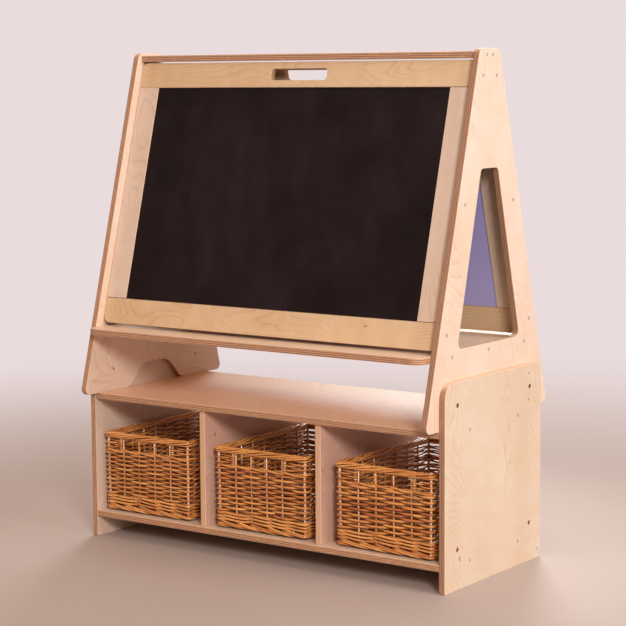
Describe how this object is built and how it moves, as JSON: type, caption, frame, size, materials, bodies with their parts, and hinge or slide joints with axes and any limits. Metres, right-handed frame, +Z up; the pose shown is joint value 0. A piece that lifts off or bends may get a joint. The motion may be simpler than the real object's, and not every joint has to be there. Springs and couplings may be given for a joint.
{
  "type": "play easel",
  "caption": "Double-sided A-frame easel with a chalkboard and a whiteboard, a through paint shelf, and a three-bay storage unit with willow baskets.",
  "frame": {"origin": "on the floor under the middle of the object", "axes": "+Z up, +X to the right and +Y to the rear, seen from the chalkboard side"},
  "size_m": [1, 0.5134, 1.16],
  "materials": {
    "birch_ply": "satin clear lacquer",
    "chalkboard_black": "matt",
    "whiteboard_white": "gloss",
    "dowel_beech": "plain",
    "screw_steel": "bright zinc",
    "bolt_bronze": "bronzed",
    "insert_brass": "plain",
    "willow": "boiled willow, satin"
  },
  "bodies": {
    "root": {"left_side_frame": "birch_ply", "right_side_frame": "birch_ply", "top_bar": "birch_ply", "paint_shelf": "birch_ply", "front_board_top_rail": "birch_ply", "front_board_bottom_rail": "birch_ply", "front_board_left_stile": "birch_ply", "front_board_right_stile": "birch_ply", "chalkboard": "chalkboard_black", "rear_board_top_rail": "birch_ply", "rear_board_bottom_rail": "birch_ply", "rear_board_left_stile": "birch_ply", "rear_board_right_stile": "birch_ply", "whiteboard": "whiteboard_white", "board_dowels": "dowel_beech", "left_end_panel": "birch_ply", "right_end_panel": "birch_ply", "unit_top": "birch_ply", "unit_bottom": "birch_ply", "left_divider": "birch_ply", "right_divider": "birch_ply", "plinth_rail": "birch_ply", "divider_dowels": "dowel_beech", "side_frame_screws": "screw_steel", "end_panel_screws": "screw_steel", "connector_bolts": "bolt_bronze", "threaded_inserts": "insert_brass"},
    "basket_left": {"basket_left_sides": "willow", "basket_left_base": "willow", "basket_left_rim": "willow"},
    "basket_middle": {"basket_middle_sides": "willow", "basket_middle_base": "willow", "basket_middle_rim": "willow"},
    "basket_right": {"basket_right_sides": "willow", "basket_right_base": "willow", "basket_right_rim": "willow"}
  },
  "joints": [
    {"name": "basket_left_slide", "type": "slide", "parent": "root", "child": "basket_left", "axis": [0, -1, 0], "range_m": [-0.2, 0.2]},
    {"name": "basket_middle_slide", "type": "slide", "parent": "root", "child": "basket_middle", "axis": [0, -1, 0], "range_m": [-0.2, 0.2]},
    {"name": "basket_right_slide", "type": "slide", "parent": "root", "child": "basket_right", "axis": [0, -1, 0], "range_m": [-0.2, 0.2]}
  ]
}
